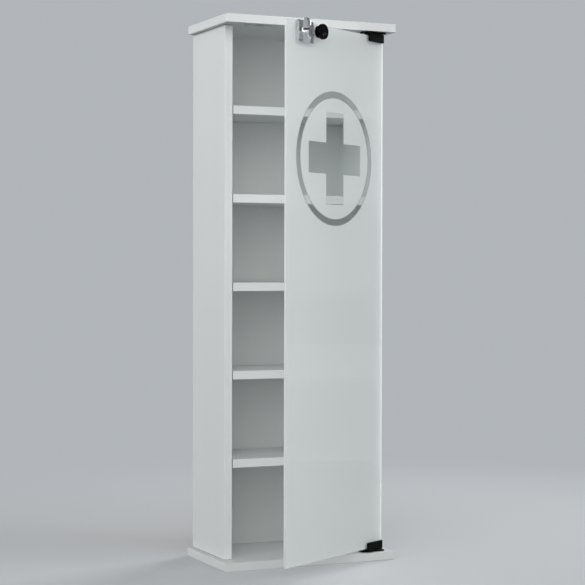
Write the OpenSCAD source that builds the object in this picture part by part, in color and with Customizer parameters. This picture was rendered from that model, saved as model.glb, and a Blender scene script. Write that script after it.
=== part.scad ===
// Lockable medicine cabinet: a tall white carcass with five shelves, and a frosted glass door
// that turns on two pivot hinges and is bolted into the top board by a cylinder lock.
// Millimetres, +Z up, the front towards -Y. The origin is the centre of the base's underside.
// The door and all that it carries are drawn closed, and swung to their resting angle at the end.

/* [Carcass] */
// Overall width, across the top and base boards
cabinet_w = 350; // [320:5:450]
// Overall depth, front to back, of the top and base boards
cabinet_d = 200; // [180:5:300]
// Overall height
cabinet_h = 1030; // [820:10:1300]
// Thickness of the coated boards
board_t = 16; // [16:1:20]
// Rounding of the boards' visible edges
edge_r = 1; // [0.5:0.25:2]
// How far the top and base stand out past each side
side_overhang = 11; // [6:1:20]
// How far the top and base stand out past the sides' front edges
front_overhang = 36; // [35:1:45]
// Thickness of the back panel
back_t = 3; // [3:0.5:5]

/* [Shelves] */
// Clear height of the lowest compartment; the others share the rest
lowest_room = 171.5; // [120:0.5:220]
// Gap between a shelf and each side
shelf_side_gap = 1.2; // [1.1:0.1:2]
// Gap between a shelf and the back panel
shelf_back_gap = 2; // [1:0.5:6]
// Diameter of a shelf peg
peg_d = 5; // [5:0.5:7]

/* [Door] */
// How far the glass stops inside the outer faces of the sides
door_reveal = 5; // [3:0.5:10]
// Thickness of the glass
glass_t = 5; // [4:0.5:6]
// Gap between the glass and the boards above and below it
door_gap = 9; // [9:0.5:12]
// Distance of the hinge pins from the glass's edge
pivot_inset = 13; // [11:0.5:15]
// Angle at which the door stands open at rest
door_open = 30.5; // [0:0.5:90]
// Rounding of the glass's corners
glass_corner_r = 2; // [1:0.5:4]

/* [Hinges] */
// Length of a hinge clamp along the glass
clamp_l = 50; // [46:1:60]
// How far a hinge clamp reaches over the glass
clamp_grip = 11; // [10:0.5:18]
// Thickness of a hinge clamp's cheeks
clamp_t = 3; // [2.5:0.5:4]
// Diameter of the hinge pins
pin_d = 6; // [5:0.5:7]

/* [Lock] */
// Distance of the lock from the glass's free edge
lock_inset = 54; // [45:0.5:80]
// Height from the cylinder's axis up to the glass's top edge
lock_drop = 20; // [20:0.5:24]
// Width of the lock body
lock_w = 47; // [42:1:60]
// How far the lock body reaches below the cylinder's axis
lock_below = 18; // [16:0.5:25]
// Diameter of the barrel around the cylinder
barrel_d = 21; // [19:0.5:25]
// Diameter of the turning cylinder
plug_d = 13; // [12:0.5:14]
// Travel of the bolt over a quarter turn of the key
bolt_throw = 6.5; // [5:0.25:6.75]
// Width of the bolt's tongue
bolt_w = 9; // [8:0.5:12]
// Thickness of the bolt's tongue
bolt_t = 6.5; // [6:0.5:8]

/* [Knob] */
// Diameter of the knob's head
knob_d = 28; // [24:1:36]
// Distance of the knob from the glass's free edge
knob_inset = 96.5; // [94:0.5:140]
// Height from the knob's axis up to the glass's top edge
knob_drop = 13.5; // [13.5:0.5:40]

/* [Hidden] */
$fn = 48;

// Small overlap that keeps a cut from leaving a skin
eps = 0.1;
// Gap round a fastener in its hole, and between a piece and its seat
seat = 0.05;
// Gap between sliding faces
slide = 0.2;

// Planes of the carcass
front_y = -cabinet_d / 2;
back_y = cabinet_d / 2;
side_front_y = front_y + front_overhang;
back_face_y = back_y - back_t;
ceiling_z = cabinet_h - board_t;
floor_z = board_t;
carcass_w = cabinet_w - 2 * side_overhang;
inner_w = carcass_w - 2 * board_t;
side_d = back_y - side_front_y;
side_h = ceiling_z - floor_z;
side_x = carcass_w / 2 - board_t / 2;

// Rebate in the sides that takes the back panel
rebate_w = 8;
back_side_gap = 0.5;

// Shelves, counted from the top
shelf_count = 5;
shelf_d = back_face_y - shelf_back_gap - side_front_y;
lowest_shelf_top = floor_z + lowest_room + board_t;
shelf_pitch = (ceiling_z + board_t - lowest_shelf_top) / shelf_count;
function shelf_top(k) = lowest_shelf_top + (shelf_count - k) * shelf_pitch;
peg_flat = peg_d / 2 - 0.25;
peg_depth = 9;
peg_reach = 8;
peg_front = 30;
peg_ys = [side_front_y + peg_front, back_face_y - peg_front];
function peg_z(k) = shelf_top(k) - board_t - peg_flat - seat;

// Knock-down fittings: their places along the depth of each side
fitting_inset = 32;
bolt_ys = [side_front_y + fitting_inset, back_face_y - fitting_inset];
dowel_ys = [side_front_y + 2 * fitting_inset, back_face_y - 2 * fitting_inset];
cam_d = 15;
cam_h = board_t / 2 + 4.5;
cam_axis = cam_h - 0.2 - board_t / 2;
cam_reach = 34;
cam_bolt_d = 6.4;
cam_bolt_thread = 10.5;
dowel_d = 8;
dowel_in_board = 11;
dowel_in_side = 18;

// Nails of the back panel
nail_d = 1.6;
nail_l = 20;
nail_count = 7;
nail_x = inner_w / 2 + rebate_w / 2;
function nail_z(i) = floor_z + side_h * (i + 0.5) / nail_count;

// Wall brackets, under the top board and against the back panel
bracket_w = 16;
bracket_leaf = 24;
bracket_t = 2;
bracket_spacing = 220;
bracket_hole_d = 5.5;
bracket_hole_drop = 15;
bracket_xs = [-bracket_spacing / 2, bracket_spacing / 2];
bracket_screw_y = back_face_y - seat - 14;

// Wood screws of the hinge plates, the strike and the brackets
screw_d = 3.5;
screw_head_d = 7;
screw_head_h = 2;
screw_l = 13;

// Glass, closed: its planes, edges and hinge line
glass_w = carcass_w - 2 * door_reveal;
glass_h = side_h - 2 * door_gap;
glass_y = front_y + front_overhang / 2;
glass_front_y = glass_y - glass_t / 2;
glass_top_z = ceiling_z - door_gap;
glass_bottom_z = floor_z + door_gap;
hinge_edge_x = glass_w / 2;
free_edge_x = -glass_w / 2;
pivot_x = hinge_edge_x - pivot_inset;
liner_t = 0.8;

// Hinge clamp: a channel round the glass's edge, with a bush for the pin in its web
plate_t = 2.5;
bush_flange_t = 0.9;
bush_gap = 0.1;
clamp_top = door_gap - plate_t - bush_gap - bush_flange_t;
clamp_slot = glass_t + 2 * liner_t;
clamp_outer = clamp_slot + 2 * clamp_t;
clamp_start = 1.5;
clamp_mid_x = hinge_edge_x - clamp_start - clamp_l / 2;
clamp_corner_r = 2.5;
bush_d = pin_d + 3;
bush_flange_d = pin_d + 7;
pin_clear = 0.05;
clamp_screw_d = 4;
clamp_screw_xs = [clamp_mid_x - clamp_l / 5, clamp_mid_x + clamp_l / 5];
plate_l = 50;
plate_w = 16;
plate_end = 14;
plate_mid_x = pivot_x + plate_end - plate_l / 2;
plate_screw_xs = [plate_mid_x - plate_l / 2 + 7, plate_mid_x - plate_l / 2 + 21];

// Lock: x along the glass from the cylinder's axis, y back from the glass's front face,
// z up from the cylinder's axis
lock_x = free_edge_x + lock_inset;
lock_z = glass_top_z - lock_drop;
lock_plate_t = 1.2;
bolt_plate_t = 2.2;
bolt_back = -liner_t - lock_plate_t - slide;
bolt_plate_front = bolt_back - bolt_plate_t;
bolt_front = bolt_back - bolt_t;
lock_wall = 1.8;
flank_front = -liner_t - 3.8;
cavity_front = bolt_plate_front - slide;
rib_front = bolt_front - slide - lock_wall;
rib_half = 5;
rib_foot_half = 11;
rib_crown_r = 18;
barrel_front = flank_front - 11.6;
flare_d = barrel_d + 5;
plug_front = barrel_front + 0.6;
plug_back = cavity_front - slide;
lock_top = lock_drop + door_gap - 6.7;
leg_t = 3.5;
leg_back = glass_t + liner_t + leg_t;
leg_w = lock_w - 12;
leg_below = 8;
lock_chamfer = 1.2;
lock_corner_r = 2;
drive_r = bolt_throw / sqrt(2);
drive_d = 2.8;
drive_clear = 0.25;
bolt_plate_w = 17;
bolt_plate_down = 7.5;
bolt_plate_up = 8;
bolt_tip = lock_top + 4.7;
tongue_start = bolt_plate_up + 1;
cavity_down = bolt_plate_down + 0.5;
cavity_up = bolt_plate_up + bolt_throw + 0.5;
back_plate_w = 26;
back_plate_up = lock_drop - 0.3;
back_plate_down = cavity_down + 5.7;
plate_screw_d = 2.5;
plate_screw_at = [[-7.8, cavity_up + 2.1], [7.8, cavity_up + 2.1], [0, -cavity_down - 2.6]];
grub_d = 4;
grub_x = 11;
grub_z = 5;
retainer_d = 1.6;
retainer_y = (barrel_front + rib_front) / 2;
groove_depth = 1;
key_slot = [1.5, 7.8, 7];

// Strike: an angle under the top board, with the bolt's hole and a lip that stops the door
strike_l = 57;
strike_t = 1.2;
strike_clear = 0.4;
strike_lip = 4;
strike_front_y = glass_front_y + bolt_front - 3;
strike_back_y = glass_front_y + bolt_back + strike_clear + strike_t;
strike_screw_x = 22;
mortise_depth = lock_z + bolt_tip + bolt_throw + 1.5 - ceiling_z;

// Knob: a turned head on a waisted neck, screwed through the glass
knob_x = free_edge_x + knob_inset;
knob_z = glass_top_z - knob_drop;
knob_neck_d = 22;
knob_l = 14;
knob_head_t = 7.2;
knob_rim_r = 1.3;
washer_t = 0.8;
knob_screw_d = 4;
knob_hole_d = 7;
knob_bore_l = 8;

// ---------------------------------------------------------------- shapes used by many pieces

// Rectangle with round corners, centred
module rounded_rect(w, h, r) {
    square([w - 2 * r, h], center = true);
    square([w, h - 2 * r], center = true);
    for (x = [-1, 1], y = [-1, 1])
        translate([x * (w / 2 - r), y * (h / 2 - r)]) circle(r);
}

// Board centred on the origin, rounded on the edges along all three directions
module rounded_board(w, d, h, r) {
    intersection() {
        linear_extrude(h, center = true) rounded_rect(w, d, r);
        rotate([90, 0, 0]) linear_extrude(d, center = true) rounded_rect(w, h, r);
        rotate([90, 0, 90]) linear_extrude(w, center = true) rounded_rect(d, h, r);
    }
}

// Section of a board whose front edge alone is rounded: from y = 0 back to y = d
module front_edge_section(d, t, r) {
    translate([r, -t / 2]) square([d - r, t]);
    translate([0, -t / 2 + r]) square([d, t - 2 * r]);
    for (s = [-1, 1]) translate([r, s * (t / 2 - r)]) circle(r);
}

// Round bar along +Y from y = a to y = b
module bar_y(d, a, b) {
    translate([0, b, 0]) rotate([90, 0, 0]) cylinder(d = d, h = b - a);
}

// Round bar along +X from x = a to x = b
module bar_x(d, a, b) {
    translate([a, 0, 0]) rotate([0, 90, 0]) cylinder(d = d, h = b - a);
}

// Countersunk wood screw, its head's face at z = 0 and its tip pointing up
module wood_screw(l = screw_l) {
    difference() {
        union() {
            cylinder(d1 = screw_head_d, d2 = screw_d, h = screw_head_h);
            cylinder(d = screw_d, h = l - screw_d);
            translate([0, 0, l - screw_d]) cylinder(d1 = screw_d, d2 = 0.8, h = screw_d);
        }
        cross_recess();
    }
}

// Cross recess in a screw head whose face is at z = 0
module cross_recess(w = 3.6, t = 0.8, depth = 1.2) {
    for (a = [0, 90])
        rotate([0, 0, a]) translate([-w / 2, -t / 2, -eps]) cube([w, t, depth + eps]);
}

// Hole for a wood screw whose head's face is at z = 0
module screw_hole(l = screw_l) {
    cylinder(d1 = screw_head_d + 2 * seat, d2 = screw_d + 2 * seat, h = screw_head_h);
    translate([0, 0, -eps]) cylinder(d = screw_head_d + 2 * seat, h = eps + 0.01);
    cylinder(d = screw_d + 2 * seat, h = l + 0.5);
}

// Copies its children to the left and to the right
module both_sides() {
    for (s = [0, 1]) mirror([s, 0, 0]) children();
}

// Swings its children from the closed door to the angle at which it rests
module swung() {
    translate([pivot_x, glass_y, 0]) rotate([0, 0, door_open])
        translate([-pivot_x, -glass_y, 0]) children();
}

// Places its children at the lock's own origin, on the closed door
module at_lock() {
    translate([lock_x, glass_front_y, lock_z]) children();
}

// Places its children at the knob's axis on the glass's front face, on the closed door
module at_knob() {
    translate([knob_x, glass_front_y, knob_z]) children();
}

// Turns what is drawn for the top end of the carcass over, to the bottom end
module upside_down() {
    translate([0, 0, cabinet_h]) mirror([0, 0, 1]) children();
}

// ---------------------------------------------------------------- fittings of the carcass

// Dowel and connecting-bolt holes at one end of a side, in the top board's underside
module end_holes() {
    both_sides() for (x = [side_x]) {
        for (y = bolt_ys)
            translate([x, y, ceiling_z - eps])
                cylinder(d = 5 + 2 * seat, h = cam_bolt_thread + 0.5 + eps);
        for (y = dowel_ys)
            translate([x, y, ceiling_z - eps])
                cylinder(d = dowel_d + 2 * seat, h = dowel_in_board + 0.5 + eps);
    }
}

// Connecting bolt hanging from z = 0: a thread above, a shank, a neck and a head below
module cam_bolt() {
    neck_top = cam_reach - cam_d / 2 - 2;
    head_top = cam_reach - 2.5;
    translate([0, 0, -1]) cylinder(d = 5, h = cam_bolt_thread + 1);
    translate([0, 0, -neck_top]) cylinder(d = cam_bolt_d, h = neck_top - seat);
    translate([0, 0, -head_top]) cylinder(d = 4.2, h = head_top - neck_top);
    translate([0, 0, -head_top - 3]) cylinder(d = cam_bolt_d, h = 3);
}

// Cam that grips the bolt's head: its face at x = 0, its axis along -X into the board
module cam_lock() {
    rotate([0, 90, 0]) translate([0, 0, -cam_h + 0.2]) difference() {
        cylinder(d = cam_d - 0.2, h = cam_h - 0.2);
        // the bolt comes in from above, through a narrow slot into a wider chamber
        translate([-cam_d, -2.4, cam_axis - 3]) cube([cam_d - 3, 4.8, 7]);
        translate([-3.2, 0, cam_axis]) rotate([0, 90, 0])
            cylinder(d = cam_bolt_d + 0.8, h = 6);
        for (a = [45, 135])
            translate([0, 0, cam_h - 1.6]) rotate([0, 0, a])
                translate([-4, -0.5, 0]) cube([8, 1, 2]);
    }
}

// Bores at a side's upper end: cam pockets, bolt bores and dowel holes, for the right side
module side_end_bores() {
    for (y = bolt_ys) {
        translate([side_x, y, ceiling_z - cam_reach]) cylinder(d = 8, h = cam_reach + eps);
        translate([0, y, ceiling_z - cam_reach])
            bar_x(cam_d, inner_w / 2 - eps, inner_w / 2 + cam_h);
    }
    for (y = dowel_ys)
        translate([side_x, y, ceiling_z - dowel_in_side - 0.5])
            cylinder(d = dowel_d + 2 * seat, h = dowel_in_side + 0.5 + eps);
}

// Nail through the back panel, driven towards -Y, its head flush with the back
module back_nail() {
    bar_y(nail_d, back_y - nail_l, back_y);
    bar_y(nail_d * 2, back_y - 0.6, back_y);
}

module nail_hole() {
    bar_y(nail_d + 2 * seat, back_y - nail_l - 0.5, back_y + eps);
    bar_y(nail_d * 2 + 2 * seat, back_y - 0.6 - seat, back_y + eps);
}

module at_nails() {
    for (i = [0 : nail_count - 1]) translate([nail_x, 0, nail_z(i)]) children();
}

// ---------------------------------------------------------------- carcass

module top_panel() color("white") difference() {
    translate([0, 0, cabinet_h - board_t / 2])
        rounded_board(cabinet_w, cabinet_d, board_t, edge_r);
    end_holes();
    hinge_screw_holes();
    for (x = bracket_xs) translate([x, bracket_screw_y, ceiling_z - bracket_t - seat])
        screw_hole(12);
    for (s = [-1, 1]) translate([lock_x + s * strike_screw_x, strike_screw_y(), ceiling_z - strike_t])
        screw_hole(12);
    translate([lock_x, glass_front_y + bolt_back - bolt_t / 2, ceiling_z + mortise_depth / 2])
        cube([bolt_w + 2 * strike_clear, bolt_t + 2 * strike_clear, mortise_depth + eps],
            center = true);
}

module base_panel() color("white") difference() {
    translate([0, 0, board_t / 2]) rounded_board(cabinet_w, cabinet_d, board_t, edge_r);
    upside_down() {
        end_holes();
        hinge_screw_holes();
    }
}

// The right side; the left one is its mirror image
module side_panel() color("whitesmoke") difference() {
    translate([side_x, side_front_y, floor_z])
        linear_extrude(side_h) rotate([0, 0, 90]) front_edge_section(side_d, board_t, edge_r);
    translate([inner_w / 2 - eps, back_face_y - seat, floor_z - eps])
        cube([rebate_w + eps, back_t + 1, side_h + 2 * eps]);
    side_end_bores();
    upside_down() side_end_bores();
    for (k = [1 : shelf_count], y = peg_ys) translate([0, y, peg_z(k)])
        bar_x(peg_d + 2 * seat, inner_w / 2 - eps, inner_w / 2 + peg_depth + 0.5);
    at_nails() nail_hole();
}

module left_side_panel() mirror([1, 0, 0]) side_panel();

module right_side_panel() side_panel();

module back_panel() color("white") difference() {
    translate([-inner_w / 2 - rebate_w + back_side_gap, back_face_y, floor_z + back_side_gap])
        cube([inner_w + 2 * (rebate_w - back_side_gap), back_t, side_h - 2 * back_side_gap]);
    both_sides() at_nails() nail_hole();
    for (x = bracket_xs) translate([x, 0, ceiling_z - bracket_hole_drop])
        bar_y(bracket_hole_d, back_face_y - eps, back_y + eps);
}

module shelf(k) color("white")
    translate([0, side_front_y, shelf_top(k) - board_t / 2])
        rotate([90, 0, 90])
            linear_extrude(inner_w - 2 * shelf_side_gap, center = true)
                front_edge_section(shelf_d, board_t, edge_r);

module shelf_1() shelf(1);
module shelf_2() shelf(2);
module shelf_3() shelf(3);
module shelf_4() shelf(4);
module shelf_5() shelf(5);

// Steel peg in a side, with a collar against the board and a flat that carries the shelf
module shelf_peg() {
    bar_x(peg_d, inner_w / 2, inner_w / 2 + peg_depth);
    bar_x(peg_d + 2.6, inner_w / 2 - 1, inner_w / 2);
    intersection() {
        bar_x(peg_d, inner_w / 2 - peg_reach, inner_w / 2 - 1);
        translate([0, -peg_d, -peg_d]) cube([inner_w, 2 * peg_d, peg_d + peg_flat]);
    }
}

module shelf_pegs() color("silver")
    both_sides() for (k = [1 : shelf_count], y = peg_ys) translate([0, y, peg_z(k)]) shelf_peg();

module at_corners() {
    both_sides() {
        children();
        upside_down() children();
    }
}

module cam_bolts() color("silver")
    at_corners() for (y = bolt_ys) translate([side_x, y, ceiling_z]) cam_bolt();

module cam_locks() color("silver")
    at_corners() for (y = bolt_ys)
        translate([inner_w / 2, y, ceiling_z - cam_reach]) mirror([1, 0, 0]) cam_lock();

module dowels() color("burlywood")
    at_corners() for (y = dowel_ys) translate([side_x, y, ceiling_z - dowel_in_side])
        cylinder(d = dowel_d, h = dowel_in_side + dowel_in_board);

module back_nails() color("silver") both_sides() at_nails() back_nail();

// ---------------------------------------------------------------- wall brackets

module wall_bracket() difference() {
    union() {
        translate([-bracket_w / 2, back_face_y - seat - bracket_leaf, ceiling_z - seat - bracket_t])
            cube([bracket_w, bracket_leaf, bracket_t]);
        translate([-bracket_w / 2, back_face_y - seat - bracket_t, ceiling_z - seat - bracket_leaf])
            cube([bracket_w, bracket_t, bracket_leaf]);
    }
    translate([0, bracket_screw_y, ceiling_z - bracket_t - seat]) screw_hole(12);
    translate([0, 0, ceiling_z - bracket_hole_drop])
        bar_y(bracket_hole_d, back_face_y - bracket_leaf, back_y);
}

module wall_brackets() color("silver") for (x = bracket_xs) translate([x, 0, 0]) wall_bracket();

module bracket_screws() color("silver") for (x = bracket_xs)
    translate([x, bracket_screw_y, ceiling_z - bracket_t - seat]) wood_screw(12);

// ---------------------------------------------------------------- strike

function strike_screw_y() = glass_front_y + bolt_back - bolt_t / 2;

module strike_plate() color("silver") difference() {
    union() {
        translate([lock_x, (strike_front_y + strike_back_y) / 2, ceiling_z - strike_t])
            linear_extrude(strike_t - seat)
                rounded_rect(strike_l, strike_back_y - strike_front_y, 1.5);
        translate([lock_x - strike_l / 2 + 1.5, strike_back_y - strike_t, ceiling_z - strike_lip])
            cube([strike_l - 3, strike_t, strike_lip - seat]);
    }
    translate([lock_x, strike_screw_y(), ceiling_z])
        cube([bolt_w + 2 * strike_clear, bolt_t + 2 * strike_clear, 4 * strike_t], center = true);
    for (s = [-1, 1]) translate([lock_x + s * strike_screw_x, strike_screw_y(), ceiling_z - strike_t])
        screw_hole(12);
}

module strike_screws() color("silver") for (s = [-1, 1])
    translate([lock_x + s * strike_screw_x, strike_screw_y(), ceiling_z - strike_t]) wood_screw(12);

// ---------------------------------------------------------------- hinges

module hinge_screw_holes() {
    for (x = plate_screw_xs) translate([x, glass_y, ceiling_z - plate_t]) screw_hole();
}

// Plate under the top board, with the pin that the door's bush turns on
module hinge_plate() {
    difference() {
        translate([plate_mid_x, glass_y, ceiling_z - plate_t])
            linear_extrude(plate_t - seat) rounded_rect(plate_l, plate_w, 4);
        hinge_screw_holes();
    }
    translate([pivot_x, glass_y, glass_top_z + liner_t + 0.3])
        cylinder(d = pin_d, h = ceiling_z - plate_t - glass_top_z - liner_t);
}

module top_hinge_plate() color("dimgray") hinge_plate();

module bottom_hinge_plate() color("dimgray") upside_down() hinge_plate();

module hinge_plate_screws() color("dimgray") for (flip = [0, 1])
    translate([0, 0, flip * cabinet_h]) mirror([0, 0, flip])
        for (x = plate_screw_xs) translate([x, glass_y, ceiling_z - plate_t]) wood_screw();

// Channel over the glass's top edge, closed door
module hinge_clamp() difference() {
    translate([clamp_mid_x, glass_y, glass_top_z + (clamp_top - clamp_grip) / 2])
        rotate([90, 0, 0]) linear_extrude(clamp_outer, center = true)
            rounded_rect(clamp_l, clamp_grip + clamp_top, clamp_corner_r);
    translate([clamp_mid_x, glass_y, glass_top_z + liner_t - clamp_grip])
        cube([clamp_l + 2, clamp_slot, 2 * clamp_grip], center = true);
    translate([pivot_x, glass_y, glass_top_z]) cylinder(d = bush_d + 2 * seat, h = door_gap);
    for (x = clamp_screw_xs) translate([x, glass_y, glass_top_z - clamp_grip / 2])
        bar_y(clamp_screw_d + 2 * seat, 0, clamp_outer);
}

module top_hinge_clamp() color("black") swung() hinge_clamp();

module bottom_hinge_clamp() color("black") swung() upside_down() hinge_clamp();

// Rubber channel between the glass and its clamp
module clamp_liner() difference() {
    translate([clamp_mid_x, glass_y, glass_top_z + liner_t / 2 - clamp_grip / 2 + 0.5])
        cube([clamp_l - 1, clamp_slot - 2 * seat, clamp_grip + liner_t - 1 - 2 * seat],
            center = true);
    translate([clamp_mid_x, glass_y, glass_top_z - clamp_grip])
        cube([clamp_l + 2, glass_t + 2 * seat, 2 * clamp_grip], center = true);
}

module hinge_clamp_liners() color("black") swung() {
    clamp_liner();
    upside_down() clamp_liner();
}

// Nylon bush in the clamp's web: its flange runs against the hinge plate
module hinge_bush() difference() {
    top_z = glass_top_z + clamp_top;
    union() {
        translate([pivot_x, glass_y, glass_top_z + liner_t + 0.1])
            cylinder(d = bush_d, h = clamp_top - liner_t);
        translate([pivot_x, glass_y, top_z + seat])
            cylinder(d = bush_flange_d, h = bush_flange_t - seat);
    }
    translate([pivot_x, glass_y, glass_top_z - eps])
        cylinder(d = pin_d + 2 * pin_clear, h = door_gap + 1);
}

module hinge_bushes() color("ivory") swung() {
    hinge_bush();
    upside_down() hinge_bush();
}

// Grub screw in a hinge clamp's inner cheek
module clamp_grub_screw() difference() {
    bar_y(clamp_screw_d, clamp_slot / 2 + seat, clamp_outer / 2 - 0.3);
    bar_y(2.2, clamp_outer / 2 - 2, clamp_outer / 2 + eps, $fn = 6);
}

module hinge_clamp_screws() color("dimgray") swung() for (flip = [0, 1])
    translate([0, 0, flip * cabinet_h]) mirror([0, 0, flip])
        for (x = clamp_screw_xs)
            translate([x, glass_y, glass_top_z - clamp_grip / 2]) clamp_grub_screw();

// ---------------------------------------------------------------- glass door

module glass_door() color("lightcyan", 0.5) swung() difference() {
    translate([0, glass_y, (glass_top_z + glass_bottom_z) / 2])
        rotate([90, 0, 0]) linear_extrude(glass_t, center = true)
            rounded_rect(glass_w, glass_h, glass_corner_r);
    at_knob() bar_y(knob_hole_d, -1, glass_t + 1);
}

// ---------------------------------------------------------------- lock

// Bar along z whose sides slope in from half-width a at y = near to half-width b at y = far,
// and whose lower and upper ends slope by lo and hi over the same depth
module hipped_bar(a, b, near, far, z_lo, z_hi, lo, hi) {
    intersection() {
        translate([0, 0, z_lo]) linear_extrude(z_hi - z_lo)
            polygon([[-a, near + 0.5], [a, near + 0.5], [a, near], [b, far], [-b, far], [-a, near]]);
        rotate([90, 0, 90]) linear_extrude(2 * a, center = true)
            polygon([[near + 0.5, z_lo], [near, z_lo], [far, z_lo + lo], [far, z_hi - hi],
                [near, z_hi], [near + 0.5, z_hi]]);
    }
}

// Casting that saddles the glass's top edge and holds the cylinder, the bolt and its guide
module lock_body() color("silver") swung() at_lock() difference() {
    union() {
        // plate on the glass, with chamfered edges and round corners
        intersection() {
            union() {
                translate([-lock_w / 2, flank_front + lock_chamfer, -lock_below])
                    cube([lock_w, -liner_t - flank_front - lock_chamfer, lock_below + lock_top]);
                hipped_bar(lock_w / 2, lock_w / 2 - lock_chamfer, flank_front + lock_chamfer,
                    flank_front, -lock_below, lock_top, lock_chamfer, lock_chamfer);
            }
            translate([0, 0, (lock_top - lock_below) / 2]) rotate([90, 0, 0])
                linear_extrude(-flank_front)
                    rounded_rect(lock_w, lock_top + lock_below, lock_corner_r);
        }
        // rib that holds the bolt, its front slightly crowned
        intersection() {
            hipped_bar(rib_foot_half, rib_half, flank_front, rib_front,
                -lock_below + lock_chamfer, lock_top, lock_below - lock_chamfer - 10, 0.8);
            translate([0, rib_front + rib_crown_r, -lock_below])
                cylinder(r = rib_crown_r, h = lock_below + lock_top, $fn = 96);
        }
        // barrel round the cylinder, with a flared foot
        translate([0, flank_front, 0]) rotate([90, 0, 0])
            cylinder(d1 = flare_d, d2 = barrel_d, h = 4);
        bar_y(barrel_d - 0.8, barrel_front, flank_front);
        bar_y(barrel_d, barrel_front + 0.8, flank_front);
        // saddle and rear leg
        translate([-leg_w / 2, -liner_t - 1, lock_drop + liner_t])
            cube([leg_w, leg_back + liner_t + 1, lock_top - lock_drop - liner_t]);
        translate([0, leg_back, (lock_top - leg_below) / 2]) rotate([90, 0, 0])
            linear_extrude(leg_t) rounded_rect(leg_w, lock_top + leg_below, 2);
    }
    // seat of the back plate
    translate([-back_plate_w / 2 - seat, -liner_t - lock_plate_t, -back_plate_down - seat])
        cube([back_plate_w + 2 * seat, lock_plate_t + 1, back_plate_down + back_plate_up + 2 * seat]);
    // room of the bolt's plate, and the channel of its tongue
    translate([-bolt_plate_w / 2 - slide, cavity_front, -cavity_down])
        cube([bolt_plate_w + 2 * slide, -cavity_front - liner_t - lock_plate_t + eps,
            cavity_down + cavity_up]);
    translate([-bolt_w / 2 - slide, bolt_front - slide, tongue_start - 0.5])
        cube([bolt_w + 2 * slide, -bolt_front - liner_t - lock_plate_t + slide + eps, lock_top]);
    // bore of the cylinder, hole of its retaining pin, and of the plate and grub screws
    bar_y(plug_d + 2 * seat, barrel_front - 1, cavity_front + 1);
    translate([0, retainer_y, -barrel_d]) cylinder(d = retainer_d + 2 * seat, h = barrel_d);
    for (p = plate_screw_at) translate([p[0], 0, p[1]])
        bar_y(plate_screw_d + 2 * seat, -liner_t - 4.6, 0);
    for (s = [-1, 1]) translate([s * grub_x, 0, grub_z])
        bar_y(grub_d + 2 * seat, glass_t, leg_back + 1);
}

module lock_back_plate() color("silver") swung() at_lock() difference() {
    translate([-back_plate_w / 2, -liner_t - lock_plate_t + seat, -back_plate_down])
        cube([back_plate_w, lock_plate_t - seat, back_plate_down + back_plate_up]);
    for (p = plate_screw_at) translate([p[0], -liner_t, p[1]]) rotate([90, 0, 0])
        plate_screw_cut();
}

// Countersunk hole in the back plate, its mouth at z = 0
module plate_screw_cut() {
    translate([0, 0, -eps]) cylinder(d = 2 * plate_screw_d, h = eps + 0.01);
    cylinder(d1 = 2 * plate_screw_d, d2 = plate_screw_d + 2 * seat, h = 1.1);
    cylinder(d = plate_screw_d + 2 * seat, h = 4);
}

module lock_plate_screws() color("silver") swung() at_lock()
    for (p = plate_screw_at) translate([p[0], -liner_t, p[1]]) rotate([90, 0, 0]) difference() {
        union() {
            translate([0, 0, 0.05])
                cylinder(d1 = 2 * plate_screw_d - 0.2, d2 = plate_screw_d, h = 1.05);
            cylinder(d = plate_screw_d, h = 4);
        }
        cross_recess(2.6, 0.6, 0.8);
    }

// Rubber channel between the glass and the lock body
module lock_liner() color("black") swung() at_lock() difference() {
    translate([-lock_w / 2 + 2, -liner_t + seat, -lock_below + 2])
        cube([lock_w - 4, liner_t - 2 * seat, lock_below - 2 + lock_drop + liner_t - seat]);
    translate([-lock_w, 0, lock_drop]) cube([2 * lock_w, 1, 5]);
}

module lock_grub_screws() color("silver") swung() at_lock()
    for (s = [-1, 1]) translate([s * grub_x, 0, grub_z]) difference() {
        bar_y(grub_d, glass_t + seat, leg_back - 0.3);
        bar_y(2.2, leg_back - 2, leg_back + eps, $fn = 6);
    }

// Pin that runs in the cylinder's groove and keeps it in the barrel
module cylinder_retaining_pin() color("silver") swung() at_lock()
    translate([0, retainer_y, -barrel_d / 2 + 0.3])
        cylinder(d = retainer_d, h = barrel_d / 2 - 0.3 - plug_d / 2 + groove_depth - 0.15);

// Turning cylinder: keyhole in front, retaining groove, and the drive pin behind
module lock_cylinder() color("gainsboro") swung() at_lock() {
    difference() {
        union() {
            bar_y(plug_d, plug_front + 0.4, plug_back);
            translate([0, plug_front + 0.4, 0]) rotate([90, 0, 0])
                cylinder(d1 = plug_d, d2 = plug_d - 0.8, h = 0.4);
        }
        translate([0, retainer_y, 0]) rotate([90, 0, 0])
            translate([0, 0, -retainer_d / 2 - 0.1]) difference() {
                cylinder(d = plug_d + 2, h = retainer_d + 0.2);
                translate([0, 0, -1]) cylinder(d = plug_d - 2 * groove_depth, h = retainer_d + 3);
            }
        translate([-key_slot[0] / 2, plug_front - 1, -key_slot[1] / 2])
            cube([key_slot[0], key_slot[2] + 1, key_slot[1]]);
    }
    translate([drive_r * cos(-45), 0, drive_r * sin(-45)])
        bar_y(drive_d, plug_back - 1, bolt_back - 0.3);
}

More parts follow.
